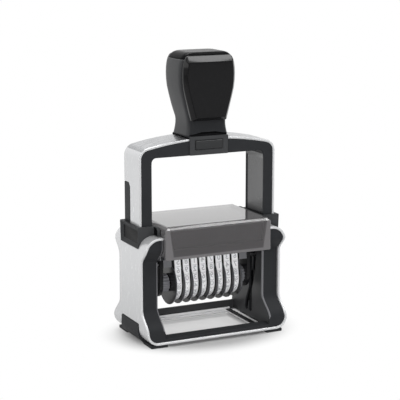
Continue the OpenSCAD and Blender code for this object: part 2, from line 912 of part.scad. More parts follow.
// Side view of a ribbed hub, drawn in Y and Z
module hub_side() {
  ribs = 16;
  rib_depth = 0.4;
  turn = 360 / ribs;
  translate([0, axle_z]) polygon([for (k = [0:ribs - 1]) for (q = [0:3])
    let (a = turn * (k + q / 4), r = q < 2 ? hub_r : hub_r - rib_depth)
    [r * cos(a), r * sin(a)]]);
}

module axle_hubs() {
  color("black") both_sides() difference() {
    from_x(hub_in, cheek_in) hub_side();
    bar_x(0, past, 0, axle_z, axle_r);
  }
}

module pivot_pins() {
  color("lightgray") both_sides() bar_x(cheek_in, leg_in + pin_depth, 0, pivot_z, pivot_r);
}

module cam_pins() {
  color("lightgray") both_sides()
    bar_x(cheek_in, opening_half + groove_depth - slide_gap, -cam_arm, pivot_z, cam_r);
}

outer_band();
base_frame();
guide_block(-1);  // left_guide_block
guide_block(1);  // right_guide_block
foot(-1);  // left_foot
foot(1);  // right_foot
cover();
return_spring(-1);  // left_return_spring
return_spring(1);  // right_return_spring
ink_cartridge();
ink_pad();
bow_liner();
bow_band();
bridge_block();
handle_core();
handle_cap();
handle_plate(-1);  // handle_front_plate
handle_plate(1);  // handle_back_plate
handle_screws();
lock_button();
cheek(-1);  // left_cheek
cheek(1);  // right_cheek
anvil();
wheel_axle();
axle_hubs();
pivot_pins();
cam_pins();
end_disc();
for (i = [1:band_count]) {
  number_wheel(i);
  number_band(i);
}
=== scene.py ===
# %% [markdown]
# # A self-inking numbering stamp
# The stamp is a desk machine. A bow with a handle is pressed down, a unit with eight number bands turns
# over from the ink pad to the paper, and two springs push it up again. The engineering model gives every
# piece its size and place. This lesson gives every piece its looks: rounded edges, real finishes, figures
# on the bands, and a small studio to see it in. Lengths are metres, as in the model, so a size in
# millimetres is written with the factor `MM`.

# %% Load the engineering model
import json
import math

import bmesh
import bpy
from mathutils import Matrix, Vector
from mathutils.bvhtree import BVHTree
from mathutils.geometry import convex_hull_2d

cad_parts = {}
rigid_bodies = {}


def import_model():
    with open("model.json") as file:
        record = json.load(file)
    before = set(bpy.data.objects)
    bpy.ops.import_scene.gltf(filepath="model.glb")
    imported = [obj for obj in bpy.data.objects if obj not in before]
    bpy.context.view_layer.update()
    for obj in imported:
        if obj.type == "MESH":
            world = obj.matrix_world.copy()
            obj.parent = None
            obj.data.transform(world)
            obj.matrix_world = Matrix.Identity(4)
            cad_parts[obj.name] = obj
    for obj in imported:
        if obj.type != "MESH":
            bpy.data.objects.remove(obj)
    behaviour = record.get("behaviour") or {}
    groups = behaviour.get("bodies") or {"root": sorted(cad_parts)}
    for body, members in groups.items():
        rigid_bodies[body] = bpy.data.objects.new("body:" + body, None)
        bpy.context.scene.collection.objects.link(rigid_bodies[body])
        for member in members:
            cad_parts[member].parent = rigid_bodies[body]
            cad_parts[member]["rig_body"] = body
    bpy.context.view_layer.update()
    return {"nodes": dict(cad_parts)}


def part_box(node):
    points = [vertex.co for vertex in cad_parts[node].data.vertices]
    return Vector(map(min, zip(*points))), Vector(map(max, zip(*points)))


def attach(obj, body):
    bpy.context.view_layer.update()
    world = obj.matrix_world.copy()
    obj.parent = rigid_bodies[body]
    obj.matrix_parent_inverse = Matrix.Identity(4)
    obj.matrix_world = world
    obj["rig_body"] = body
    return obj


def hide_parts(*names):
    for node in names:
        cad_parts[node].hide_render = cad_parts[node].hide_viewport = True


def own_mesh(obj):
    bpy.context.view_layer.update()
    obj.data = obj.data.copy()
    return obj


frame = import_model()
MM = 0.001

# %% [markdown]
# ## The camera
# A product photograph is taken from far away with a long lens, so that upright lines stay nearly
# parallel. A camera can be placed by eye in the viewport. Here it is given by two angles and a distance,
# because these can be read and changed one by one. It stands a little to the left and a little above, and
# looks at a point halfway up the stamp.

# %% Camera
PICTURE_PX = 400
SENSOR_MM = 36
FOCAL_PX = 1337.6
CAMERA_AZIMUTH = math.radians(-25.67)
CAMERA_ELEVATION = math.radians(11.36)
CAMERA_DISTANCE = 700 * MM
LOOK_AT = Vector((-0.1, 0, 70.27)) * MM

away = Vector((
    math.sin(CAMERA_AZIMUTH) * math.cos(CAMERA_ELEVATION),
    -math.cos(CAMERA_AZIMUTH) * math.cos(CAMERA_ELEVATION),
    math.sin(CAMERA_ELEVATION),
))
camera = bpy.data.objects.new("camera", bpy.data.cameras.new("camera"))
camera.data.sensor_width = SENSOR_MM
camera.data.lens = SENSOR_MM * FOCAL_PX / PICTURE_PX
camera.location = LOOK_AT + away * CAMERA_DISTANCE
camera.rotation_euler = (-away).to_track_quat("-Z", "Y").to_euler()
bpy.context.scene.collection.objects.link(camera)
bpy.context.scene.camera = camera
bpy.context.scene.view_settings.view_transform = "Standard"
print("lens:", round(camera.data.lens, 1), "mm")

# %% [markdown]
# ## Shader maths as plain expressions
# A node tree could be built node by node and link by link, but it is easier to read as a formula. `Wire`
# holds one socket, and `+`, `-`, `*` and `**` on wires add Math nodes. Every other node comes from its
# one method `node`, which sets the node's own settings first and then fills or links its sockets.

# %% A wire that can be added and multiplied
class Wire:
    def __init__(self, tree, socket=None):
        self.tree = tree
        self.socket = socket

    def node(self, kind, settings=None, sockets=None):
        made = self.tree.nodes.new(kind)
        for name, value in (settings or {}).items():
            setattr(made, name, value)
        for key, value in (sockets or {}).items():
            if isinstance(value, Wire):
                self.tree.links.new(value.socket, made.inputs[key])
            else:
                made.inputs[key].default_value = value
        outputs = {o.name: Wire(self.tree, o) for o in made.outputs if o.enabled}
        return outputs if len(outputs) > 1 else next(iter(outputs.values()), made)

    def math(self, operation, first, second=0.0):
        return self.node("ShaderNodeMath", {"operation": operation}, {0: first, 1: second})

    def __add__(self, other):
        return self.math("ADD", self, other)

    def __sub__(self, other):
        return self.math("SUBTRACT", self, other)

    def __rsub__(self, other):
        return self.math("SUBTRACT", other, self)

    def __mul__(self, other):
        return self.math("MULTIPLY", self, other)

    def __pow__(self, other):
        return self.math("POWER", self, other)

    def __abs__(self):
        return self.math("ABSOLUTE", self)

    def at_least(self, other):
        return self.math("MAXIMUM", self, other)

    __radd__ = __add__
    __rmul__ = __mul__


def remap(wire, value, start, end, low=0.0, high=1.0, soft=False):
    bend = "SMOOTHSTEP" if soft else "LINEAR"
    return wire.node("ShaderNodeMapRange", {"interpolation_type": bend}, {
        "Value": value, "From Min": start, "From Max": end, "To Min": low, "To Max": high})


print("wires ready")

# %% [markdown]
# ## The studio
# The stamp stands on a white table in front of a white wall that has no edge. A real wall and ceiling
# could be built round it, but a world that answers each kind of ray is lighter and has no corners. To the
# camera it is white. As light it is twice as strong from behind as from the front. In reflections the
# wall and the ceiling are bright and the room behind the camera is dark, so that silver stays bright and
# black plastic stays black.

# %% World
SKY_FROM_FRONT = 0.45
SKY_FROM_BACK = 0.95
MIRROR_FRONT = 0.16
MIRROR_BACK = 1.0
MIRROR_TURN = 0.35
MIRROR_CEILING = 1.4
CEILING_FROM = 0.55
CEILING_TO = 0.95

world = bpy.data.worlds.new("studio")
world.use_nodes = True
world.node_tree.nodes.clear()
air = Wire(world.node_tree)
ray = air.node("ShaderNodeLightPath")
direction = air.node("ShaderNodeTexCoord")["Generated"]
way = air.node("ShaderNodeSeparateXYZ", None, {"Vector": direction})
wall = remap(air, way["Y"], -MIRROR_TURN, MIRROR_TURN, MIRROR_FRONT, MIRROR_BACK)
ceiling = remap(air, way["Z"], CEILING_FROM, CEILING_TO, 0.0, MIRROR_CEILING)
glow = remap(air, way["Y"], -1.0, 1.0, SKY_FROM_FRONT, SKY_FROM_BACK)
glossy = ray["Is Glossy Ray"]
seen = ray["Is Camera Ray"].at_least(ray["Is Transmission Ray"])
strength = seen + (1 - seen) * (glossy * wall.at_least(ceiling) + (1 - glossy) * glow)
sky = air.node("ShaderNodeBackground", None, {"Color": (1, 1, 1, 1), "Strength": strength})
air.node("ShaderNodeOutputWorld", None, {"Surface": sky})
bpy.context.scene.world = world
print("world nodes:", len(world.node_tree.nodes))

# %% [markdown]
# ### Lamps
# A photographer lights a glossy black object with soft boxes, because every lamp shows as a patch in the
# gloss. Point lamps would be simpler, but they leave specks and hard shadows. Each box here has one task:
# the table, the bright line along the bevels, the left side, the edges seen from behind, and the front.
# The two boxes for the front are hidden from reflections, so they lift the dark side without a patch in
# it.

# %% Lamps
STAMP_MIDDLE = Vector((0, 0, 0.07))
LAMPS = {
    "lamp_over_table": {"place": (-0.05, 0.10, 0.95), "width": 0.8, "height": 0.6, "watts": 0.8},
    "lamp_over_front": {"place": (0.38, -0.56, 0.66), "width": 0.18, "height": 0.26, "watts": 2.6,
                        "mirrored": False},
    "lamp_on_bevel": {"place": (0.36, -0.22, 0.80), "width": 0.30, "height": 0.20, "watts": 1.0},
    "lamp_low_front": {"place": (-0.30, -0.85, 0.09), "width": 0.5, "height": 0.10, "watts": 3.8,
                       "mirrored": False},
    "lamp_left": {"place": (-0.85, -0.10, 0.45), "width": 0.5, "height": 0.5, "watts": 0.8},
    "lamp_behind": {"place": (0.10, 0.50, 1.00), "width": 0.5, "height": 0.4, "watts": 5.5},
}


def softbox(name, place, width, height, watts, mirrored=True):
    lamp = bpy.data.lights.new(name, "AREA")
    lamp.shape = "RECTANGLE"
    lamp.size = width
    lamp.size_y = height
    lamp.energy = watts
    holder = bpy.data.objects.new(name, lamp)
    holder.location = place
    holder.rotation_euler = (STAMP_MIDDLE - holder.location).to_track_quat("-Z", "Y").to_euler()
    holder.visible_camera = False
    holder.visible_glossy = mirrored
    bpy.context.scene.collection.objects.link(holder)


for name, settings in LAMPS.items():
    softbox(name, **settings)
print("lamps:", list(LAMPS))

# %% [markdown]
# ### Table
# The table is a white sheet that runs out of the picture on all sides. One square made by an operator is
# enough for it, because it is flat and its finish does the rest.

# %% Table
TABLE_HALF = 1.5

table_mesh = bmesh.new()
bmesh.ops.create_grid(table_mesh, x_segments=1, y_segments=1, size=TABLE_HALF)
table = bpy.data.objects.new("table", bpy.data.meshes.new("table"))
table_mesh.to_mesh(table.data)
table_mesh.free()
bpy.context.scene.collection.objects.link(table)
print("table:", 2 * TABLE_HALF, "m wide")

# %% [markdown]
# Only the stamp's shadow shows on the sheet. A strong lamp would make the sheet white, but it would burn out
# the stamp as well. So the sheet mixes two shaders: near the stamp it is grey matt paper that takes the
# shadow, and its grey, darker than the white further out, deepens that shadow as painted shadow. Further out
# it fades into plain white for the camera. In the window of the base, where light is thrown to and fro, a
# share of that white is mixed in as painted light. Reflections see the sheet darken towards the front, as
# the room does.

# %% Table finish
TABLE_SHADOW_GREY = 0.52
FADE_FROM = 33 * MM
FADE_TO = 58 * MM
FADE_FRONT_STRETCH = 1.3
WINDOW_HALF_X = 24.6 * MM
WINDOW_HALF_Y = 17.3 * MM
WINDOW_SHIFT = 2.5 * MM
WINDOW_SOFT = 1.2
WINDOW_PAINTED_LIGHT = 0.35
MIRROR_NEAR = -0.20
MIRROR_FAR = 0.15
NEAR_EDGE_FROM = -0.68
NEAR_EDGE_TO = -0.50
NEAR_EDGE_GLOW = 0.4

white_table = bpy.data.materials.new("white_table")
white_table.use_nodes = True
white_table.node_tree.nodes.clear()
top = Wire(white_table.node_tree)
ray = top.node("ShaderNodeLightPath")
spot = top.node("ShaderNodeTexCoord")["Object"]
across = top.node("ShaderNodeSeparateXYZ", None, {"Vector": spot})
oval = top.node("ShaderNodeVectorMath", {"operation": "MULTIPLY"}, {0: spot, 1: (1, FADE_FRONT_STRETCH, 1)})
reach = top.node("ShaderNodeVectorMath", {"operation": "LENGTH"}, {0: oval})
far = remap(top, reach, FADE_FROM, FADE_TO, soft=True)
sideways = abs(across["X"]) * (1 / WINDOW_HALF_X)
inwards = abs(across["Y"] - WINDOW_SHIFT) * (1 / WINDOW_HALF_Y)
# painted light: inside the base's window a share of plain white is mixed into the floor
window = remap(top, sideways.at_least(inwards), 1.0, WINDOW_SOFT, WINDOW_PAINTED_LIGHT, 0.0)
table_mirror = remap(top, across["Y"], MIRROR_NEAR, MIRROR_FAR, MIRROR_FRONT, MIRROR_BACK)
near_edge = remap(top, across["Y"], NEAR_EDGE_FROM, NEAR_EDGE_TO, NEAR_EDGE_GLOW, 0.0)
whiteness = 1 - ray["Is Glossy Ray"] * (1 - table_mirror.at_least(near_edge))
# the paper's grey near the stamp deepens its shadow as painted shadow
paper = top.node("ShaderNodeBsdfDiffuse", None, {"Color": (TABLE_SHADOW_GREY, TABLE_SHADOW_GREY, TABLE_SHADOW_GREY, 1)})
blank = top.node("ShaderNodeEmission", None, {"Color": (1, 1, 1, 1), "Strength": whiteness})
looking = ray["Is Camera Ray"].at_least(ray["Is Glossy Ray"]).at_least(ray["Is Transmission Ray"])
mixed = top.node("ShaderNodeMixShader", None, {"Fac": far.at_least(window) * looking, 1: paper, 2: blank})
top.node("ShaderNodeOutputMaterial", None, {"Surface": mixed})
table.data.materials.append(white_table)
print("table fades to white from", round(FADE_FROM / MM), "to", round(FADE_TO / MM), "mm")

# %% [markdown]
# ## Finishes
# A finish starts from Blender's Principled shader. What is the same all over is set on the shader's own
# sockets. What changes over the surface, such as a moulding grain or brush lines, could be a picture
# wrapped round the piece, but a short formula on Object coordinates needs no unwrapping and stays sharp
# from near by. Object coordinates are metres here, so a noise scale of 2000 gives a grain of half a
# millimetre.

# %% A finish
NOISE_SPAN = (0.3, 0.7)


def finish(name, **sockets):
    material = bpy.data.materials.new(name)
    material.use_nodes = True
    shader = material.node_tree.nodes["Principled BSDF"]
    for socket, value in sockets.items():
        shader.inputs[socket.replace("_", " ")].default_value = value
    return material, shader, Wire(material.node_tree)


def feed(shader, **sources):
    for socket, source in sources.items():
        source.tree.links.new(source.socket, shader.inputs[socket.replace("_", " ")])


def grain(wire, scale, detail=2.0, stretch=(1, 1, 1)):
    place = wire.node("ShaderNodeTexCoord")["Object"]
    stretched = wire.node("ShaderNodeMapping", None, {"Vector": place, "Scale": stretch})
    return wire.node("ShaderNodeTexNoise", None, {
        "Vector": stretched, "Scale": scale, "Detail": detail, "Roughness": 0.6})["Fac"]


def spread(wire, noise, low, high):
    return remap(wire, noise, *NOISE_SPAN, low, high)


def two_tone(wire, share, dark, light):
    ends = [end if isinstance(end, Wire) else (*end, 1) for end in (dark, light)]
    return wire.node("ShaderNodeMix", {"data_type": "RGBA"}, {0: share, 6: ends[0], 7: ends[1]})


def bump(wire, height, depth):
    return wire.node("ShaderNodeBump", None, {"Height": height, "Strength": 0.6, "Distance": depth})


print("finish tools ready")

# %% [markdown]
# ### Satin silver
# The outer band and the skin of the bow are bright metal with a fine brushed lay. Anisotropic gloss would
# be one way, but the lay is so fine that noise stretched along one axis is enough. It changes the
# roughness a little and tilts the surface by less than a micron. A silver grey leans a little to blue.

# %% Satin silver
def silver(level):
    return (level, level + 0.005, level + 0.015)


satin_silver, shader, wire = finish("satin_silver", Metallic=0.45)
brush = grain(wire, scale=4500, detail=3.0, stretch=(1.0, 1.0, 0.03))
cloud = grain(wire, scale=40)
feed(shader, Base_Color=two_tone(wire, cloud, silver(0.62), silver(0.65)),
     Roughness=spread(wire, brush, 0.20, 0.28), Normal=bump(wire, brush, 0.0003 * MM))
print(satin_silver.name, len(wire.tree.nodes), "nodes")

# %% [markdown]
# ### Rims, crown and window floor
# The same metal is given three other finishes on chosen faces. The narrow rims get a copy that is less
# metallic, so that they render lighter, as a painted highlight. The crown of the bow is brushed along its
# length, and its darker tone with dark and light long strokes is painted reflection. The floor of the band
# round the window is painted nearly white, as painted light. One finish with masks could hold all of this,
# but three short finishes on chosen faces are easier to follow.

# %% Rims, crown and window floor
# painted highlight: a less metallic copy of the silver, so that the rims render lighter
rim_silver_painted_highlight, shader, wire = finish("rim_silver_painted_highlight", Metallic=0.3)
feed(shader, Base_Color=two_tone(wire, grain(wire, scale=40), silver(0.62), silver(0.66)),
     Roughness=spread(wire, grain(wire, scale=4500, detail=3.0), 0.20, 0.28))
print(rim_silver_painted_highlight.name, len(wire.tree.nodes), "nodes")

# painted reflection: the crown's darker tone and its dark and light strokes
crown_silver_painted_reflection, shader, wire = finish("crown_silver_painted_reflection", Metallic=0.9)
strokes_and_painted_reflection = grain(wire, scale=900, detail=3.0, stretch=(0.05, 1.0, 1.0))
feed(shader, Base_Color=two_tone(wire, strokes_and_painted_reflection, silver(0.27), silver(0.52)),
     Roughness=spread(wire, strokes_and_painted_reflection, 0.24, 0.34))
print(crown_silver_painted_reflection.name, len(wire.tree.nodes), "nodes")

# painted light: the window floor and its walls are nearly white
window_floor_painted_light, shader, wire = finish("window_floor_painted_light", Roughness=0.5)
feed(shader, Base_Color=two_tone(wire, grain(wire, scale=600), (0.85, 0.85, 0.86), (0.89, 0.89, 0.90)))
print(window_floor_painted_light.name, len(wire.tree.nodes), "nodes")

# %% [markdown]
# ### Moulded plastic
# Moulded plastic has the fine grain of its steel mould, and its black is never quite even. Each plastic
# could have a node tree of its own, but the plastics of the stamp differ only in tone, gloss and grain, so
# one function makes them all: `pit` is the size of the grain, and `shine` the strength of the reflection.
# The frame is satin with a weak reflection, and its inner walls and the panels of the legs shine more; the
# panels of the legs are also painted lighter, as a painted sheen.

# %% Frame plastics
def moulded(name, dark, light, smooth, rough, pit, pit_depth, shine=0.5, coat=0.0):
    material, shader, wire = finish(name, Specular_IOR_Level=shine, Coat_Weight=coat, Coat_Roughness=0.15)
    pits = grain(wire, scale=1 / pit)
    cloud = grain(wire, scale=60, detail=3.0)
    feed(shader, Base_Color=two_tone(wire, cloud, dark, light),
         Roughness=spread(wire, pits * 0.5 + cloud * 0.5, smooth, rough), Normal=bump(wire, pits, pit_depth))
    print(name, len(wire.tree.nodes), "nodes")
    return material


charcoal = moulded(
    "charcoal_plastic", (0.020, 0.021, 0.023), (0.027, 0.028, 0.030),
    smooth=0.34, rough=0.48, pit=0.4 * MM, pit_depth=0.012 * MM, shine=0.07)
block_charcoal = moulded(
    "block_charcoal", (0.038, 0.039, 0.041), (0.048, 0.049, 0.051),
    smooth=0.34, rough=0.48, pit=0.4 * MM, pit_depth=0.012 * MM, shine=0.03)
wall_charcoal = moulded(
    "wall_charcoal", (0.030, 0.031, 0.033), (0.038, 0.039, 0.041),
    smooth=0.34, rough=0.48, pit=0.4 * MM, pit_depth=0.012 * MM, shine=0.35)
leg_panel_painted_sheen = moulded(
    "liner_plastic", (0.036, 0.037, 0.039), (0.044, 0.045, 0.047),
    smooth=0.20, rough=0.30, pit=0.4 * MM, pit_depth=0.004 * MM, shine=1.0)
cartridge_black = moulded(
    "cartridge_plastic", (0.010, 0.010, 0.011), (0.016, 0.016, 0.017),
    smooth=0.4, rough=0.5, pit=0.5 * MM, pit_depth=0.01 * MM)

# %% [markdown]
# The grip of the handle is rubbery and matt, its plates are polished, and its cap is a duller black. The
# lock button is a dark grey. They are made by the same function, because only their numbers differ.

# %% Handle plastics
soft_grip = moulded(
    "soft_grip", (0.011, 0.012, 0.014), (0.017, 0.018, 0.020),
    smooth=0.40, rough=0.52, pit=0.3 * MM, pit_depth=0.02 * MM)
gloss_black = moulded(
    "gloss_black", (0.004, 0.004, 0.0045), (0.006, 0.006, 0.0065),
    smooth=0.08, rough=0.14, pit=2 * MM, pit_depth=0.002 * MM, shine=0.4)
cap_black = moulded(
    "cap_black", (0.004, 0.004, 0.0045), (0.006, 0.006, 0.0065),
    smooth=0.20, rough=0.28, pit=2 * MM, pit_depth=0.002 * MM, shine=0.03)
button_grey = moulded(
    "button_grey", (0.020, 0.021, 0.022), (0.034, 0.035, 0.036),
    smooth=0.16, rough=0.26, pit=1 * MM, pit_depth=0.004 * MM)

# %% [markdown]
# In the number unit the flats of the finger discs are black, and their rims are polished by many fingers and
# shine, so the rims get a clear coat, and their black is painted lighter as a painted sheen. The hubs are
# black, painted grey as a painted highlight, and the bar that backs the bands is grey.

# %% Number unit plastics
disc_black = moulded(
    "disc_black", (0.007, 0.007, 0.008), (0.011, 0.011, 0.012),
    smooth=0.14, rough=0.24, pit=1 * MM, pit_depth=0.003 * MM, shine=0.35)
wheel_black = moulded(
    "wheel_black", (0.050, 0.050, 0.058), (0.070, 0.070, 0.080),
    smooth=0.16, rough=0.26, pit=1 * MM, pit_depth=0.003 * MM, shine=1.0, coat=1.0)
hub_painted_highlight = moulded(
    "hub_painted_highlight", (0.17, 0.17, 0.185), (0.22, 0.22, 0.235),
    smooth=0.25, rough=0.35, pit=1 * MM, pit_depth=0.003 * MM)
# this grey also paints the frame's front corners as a painted highlight
unit_grey = moulded(
    "unit_grey", (0.13, 0.13, 0.14), (0.17, 0.17, 0.18),
    smooth=0.4, rough=0.5, pit=0.5 * MM, pit_depth=0.01 * MM)

# %% [markdown]
# ### Smoked cover
# The cover is clear plastic with a grey smoke in it. Real refraction is one way, but it is slow and noisy
# for so thin a sheet, so alpha is used. Seen straight on, more than half of what is behind shows through.
# At a flat angle the sheet turns dense, as every clear sheet does. Where no black cartridge stands behind
# it, at the lower rim and at the two sides, the smoke is painted paler, as painted light for the light that
# comes through there. A belt above the rim is dense too, where the bands pass close behind it.

# %% Smoked cover
SMOKE_ALPHA = 0.42
RIM_ENDS = (46.7 * MM, 47.3 * MM)
BELT_ENDS = (50.5 * MM, 51.5 * MM)
SIDE_BEGINS = (27.0 * MM, 27.8 * MM)
SIDE_LEVEL = 60 * MM
SIDE_SLANT = 0.14
RIM_DENSITY = 0.9
EDGE_ON_POWER = 1.5
SMOKE_GREY = (0.118, 0.113, 0.116)
SMOKE_DARK = (0.066, 0.063, 0.065)
SMOKE_PAINTED_LIGHT = (0.138, 0.133, 0.137)

smoked, shader, wire = finish(
    "smoked_plastic", IOR=1.5, Roughness=0.06, Coat_Weight=1.0, Coat_IOR=1.6, Coat_Roughness=0.04)
edge_on = wire.node("ShaderNodeLayerWeight", None, {"Blend": 0.5})["Facing"]
place = wire.node("ShaderNodeSeparateXYZ", None, {"Vector": wire.node("ShaderNodeTexCoord")["Object"]})
lower_rim = remap(wire, place["Z"], *RIM_ENDS, 1.0, 0.0, soft=True)
belt = remap(wire, place["Z"], *BELT_ENDS, 1.0, 0.0, soft=True)
slanted = abs(place["X"]) - (place["Z"] - SIDE_LEVEL) * SIDE_SLANT
# painted light: the lower rim and the sides are painted paler
painted_light_edge = lower_rim.at_least(remap(wire, slanted, *SIDE_BEGINS, soft=True))
sheet = two_tone(wire, belt, SMOKE_GREY, SMOKE_DARK)
dense = (edge_on ** EDGE_ON_POWER).at_least(painted_light_edge.at_least(belt) * RIM_DENSITY)
feed(shader, Base_Color=two_tone(wire, painted_light_edge, sheet, SMOKE_PAINTED_LIGHT),
     Alpha=SMOKE_ALPHA + (1 - SMOKE_ALPHA) * dense)
print(smoked.name, len(wire.tree.nodes), "nodes")

# %% [markdown]
# ### Steel
# The pins, the axle and the screws are bright steel, turned on a lathe. Rings could be cut into the mesh,
# but at this size noise stretched along the axle looks the same. The springs are black with oil.

# %% Steel
bright_steel, shader, wire = finish("bright_steel", Metallic=1.0)
turning = grain(wire, scale=2500, stretch=(0.1, 1, 1))
feed(shader, Base_Color=two_tone(wire, turning, (0.30, 0.30, 0.31), (0.42, 0.42, 0.43)),
     Roughness=spread(wire, turning, 0.18, 0.32))
print(bright_steel.name, len(wire.tree.nodes), "nodes")

oiled_steel, shader, wire = finish("oiled_steel", Metallic=1.0, Roughness=0.35)
oil = grain(wire, scale=2500)
feed(shader, Base_Color=two_tone(wire, oil, (0.010, 0.010, 0.011), (0.020, 0.020, 0.022)))
print(oiled_steel.name, len(wire.tree.nodes), "nodes")

# %% [markdown]
# ### Rubber, ink and felt
# The bands are white rubber, a little grey from handling, and their raised figures hold the last of the
# ink. The pad is felt, soaked with ink. Hairs could be grown on it, but it lies flat under the cover, so
# a deep fine grain is enough, and the same function serves for all three.

# %% Rubber, ink and felt
band_white = moulded(
    "band_rubber", (0.80, 0.80, 0.82), (0.90, 0.90, 0.91),
    smooth=0.45, rough=0.6, pit=0.6 * MM, pit_depth=0.02 * MM)
digit_grey = moulded(
    "inked_numbers", (0.36, 0.36, 0.38), (0.54, 0.54, 0.56),
    smooth=0.4, rough=0.55, pit=0.5 * MM, pit_depth=0.01 * MM)
ink_felt = moulded(
    "ink_felt", (0.006, 0.006, 0.012), (0.020, 0.020, 0.035),
    smooth=0.75, rough=0.95, pit=0.25 * MM, pit_depth=0.12 * MM)

# %% [markdown]
# ## From solid to piece
# The solids of the engineering model have the right shape but knife-sharp edges, and a sharp edge never
# catches the light. Each piece could be modelled again from nothing, but a copy of its solid cannot be
# out of place. So the triangles are merged, flat ones are joined into faces, and every hard edge is
# bevelled. Next to a very small face a bevel can throw a point off the piece. Each point that strays is
# therefore set back on the sharp surface, and no point leaves the piece's own box.

# %% Weld and round
WELD = 0.002 * MM
STRAY = 0.45


def welded_copy(node, flatness=1.0):
    bm = bmesh.new()
    bm.from_mesh(frame["nodes"][node].data)
    bmesh.ops.remove_doubles(bm, verts=bm.verts, dist=WELD)
    bmesh.ops.dissolve_limit(bm, angle_limit=math.radians(flatness), verts=bm.verts, edges=bm.edges)
    return bm


def round_edges(bm, width, segments=2, sharper_than=35.0, chosen=None):
    hard = [e for e in bm.edges if e.is_manifold and e.calc_face_angle() > math.radians(sharper_than)]
    if chosen:
        hard = [e for e in hard if chosen(e)]
    sharp = BVHTree.FromBMesh(bm)
    low = [min(v.co[i] for v in bm.verts) for i in range(3)]
    high = [max(v.co[i] for v in bm.verts) for i in range(3)]
    bmesh.ops.bevel(bm, geom=hard, offset=width, offset_type="OFFSET", affect="EDGES", segments=segments,
                    profile=0.5, material=-1, clamp_overlap=False)
    for vert in bm.verts:
        surface, _, _, gap = sharp.find_nearest(vert.co)
        if gap > STRAY * width:
            vert.co = surface
        vert.co = [min(max(vert.co[i], low[i]), high[i]) for i in range(3)]


print("welding and rounding ready")

# %% [markdown]
# A finished mesh becomes an object that rides on one body of the machine and takes the place of its
# solid. Shading is smooth across a bevel and sharp at a real corner. The Weighted Normal modifier lets
# the large faces decide the shading, so that flats look flat without more geometry.

# %% Make a piece
SMOOTH_BELOW = math.radians(40)


def add_piece(name, bm, finishes, body, nodes=()):
    mesh = bpy.data.meshes.new(name)
    bm.to_mesh(mesh)
    bm.free()
    mesh.shade_smooth()
    mesh.set_sharp_from_angle(angle=SMOOTH_BELOW)
    piece = bpy.data.objects.new(name, mesh)
    bpy.context.scene.collection.objects.link(piece)
    for finish_used in finishes:
        mesh.materials.append(finish_used)
    weighted = piece.modifiers.new("even_shading", "WEIGHTED_NORMAL")
    weighted.keep_sharp = True
    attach(piece, body)
    if nodes:
        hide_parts(*nodes)
    print(name, "on", body, "with", len(mesh.polygons), "faces")
    return piece


def skin(node, bm, *finishes, name=None):
    body = frame["nodes"][node]["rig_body"]
    return add_piece(name or node + "_skin", bm, finishes, body, [node])


def dress(node, material, width, segments=2, sharper_than=35.0):
    bm = welded_copy(node)
    round_edges(bm, width, segments, sharper_than)
    return skin(node, bm, material)


print("piece tools ready")

# %% [markdown]
# ## Base
# The silver band wraps the base like a bent strip of sheet metal. Its long sides are brushed, its rims get
# the lighter finish as a painted highlight, and its floor round the window is painted nearly white as
# painted light. A mask in the finish could tell these apart, but each is a set of whole faces, so the faces
# are told apart by where they lie and which way they look.

# %% Silver band
FLOOR_HALF_X = 30.2 * MM
FLOOR_FRONT = -17.6 * MM
FLOOR_BACK = 20 * MM
FLOOR_LOW = 0.5 * MM
FLOOR_HIGH = 4.4 * MM
RIM_TILT = 0.4
LEVEL = 0.9
UNDERSIDE = -0.5
SHEET_ROUND = 0.55 * MM


def is_window_floor(face):
    middle = face.calc_center_median()
    at_floor = FLOOR_LOW < middle.z < FLOOR_HIGH
    in_window = abs(middle.x) < FLOOR_HALF_X and FLOOR_FRONT < middle.y < FLOOR_BACK
    return at_floor and (face.normal.z > LEVEL or (in_window and face.normal.z > UNDERSIDE))


band = welded_copy("outer_band")
round_edges(band, SHEET_ROUND, segments=4)
BAND_FLOOR_PAINTED_LIGHT, BAND_RIM_PAINTED_HIGHLIGHT = 1, 2
# window floor faces get the painted light, rim faces the painted highlight
for face in band.faces:
    if is_window_floor(face):
        face.material_index = BAND_FLOOR_PAINTED_LIGHT
    elif abs(face.normal.y) > RIM_TILT:
        face.material_index = BAND_RIM_PAINTED_HIGHLIGHT
skin("outer_band", band, satin_silver, window_floor_painted_light, rim_silver_painted_highlight)

# %% [markdown]
# ### Black frame
# The frame is one moulding: two hollow posts on two rails. Its front corners have a wide soft rounding
# that catches a grey line of light, so they are bevelled first and wider than the rest. The grooves for
# the cam pins keep their sharp edges, because a bevel as wide as a groove's wall would spoil it. One
# bevel for all edges would be shorter, but it would lose both.

# %% Bevels of the black frame
POST_WALL = 30.05 * MM
ON_WALL = 0.02 * MM
POST_FACE = -10 * MM
RAIL_TOP = 8 * MM
GROOVE_X = (30 * MM, 32 * MM)
GROOVE_HALF_Y = 8 * MM
GROOVE_TOP = 45 * MM


def is_front_corner(edge):
    return all(abs(abs(v.co.x) - POST_WALL) < ON_WALL and v.co.y < POST_FACE and v.co.z > RAIL_TOP
               for v in edge.verts)


def is_clear_of_grooves(edge):
    near, deep = GROOVE_X
    return not all(near < abs(v.co.x) < deep and abs(v.co.y) < GROOVE_HALF_Y and v.co.z < GROOVE_TOP
                   for v in edge.verts)


posts = welded_copy("base_frame")
round_edges(posts, width=0.9 * MM, chosen=is_front_corner)
round_edges(posts, width=0.3 * MM, chosen=is_clear_of_grooves)
print("black frame:", len(posts.faces), "faces")

# %% [markdown]
# The inner walls shine more than the front. The front corners get a grey finish as a painted highlight, and
# the grooves get the blackest finish as painted shade. Again whole faces are chosen, by the way they look
# and by how far they lie from the middle.

# %% Finishes of the black frame
WALL_BEGINS = 29 * MM
RAIL_BACK = 15 * MM
GROOVE_FLOOR = 30.3 * MM
WALL_TILT = 0.6
RAIL_TILT = 0.2
CORNER_TILT = 0.3

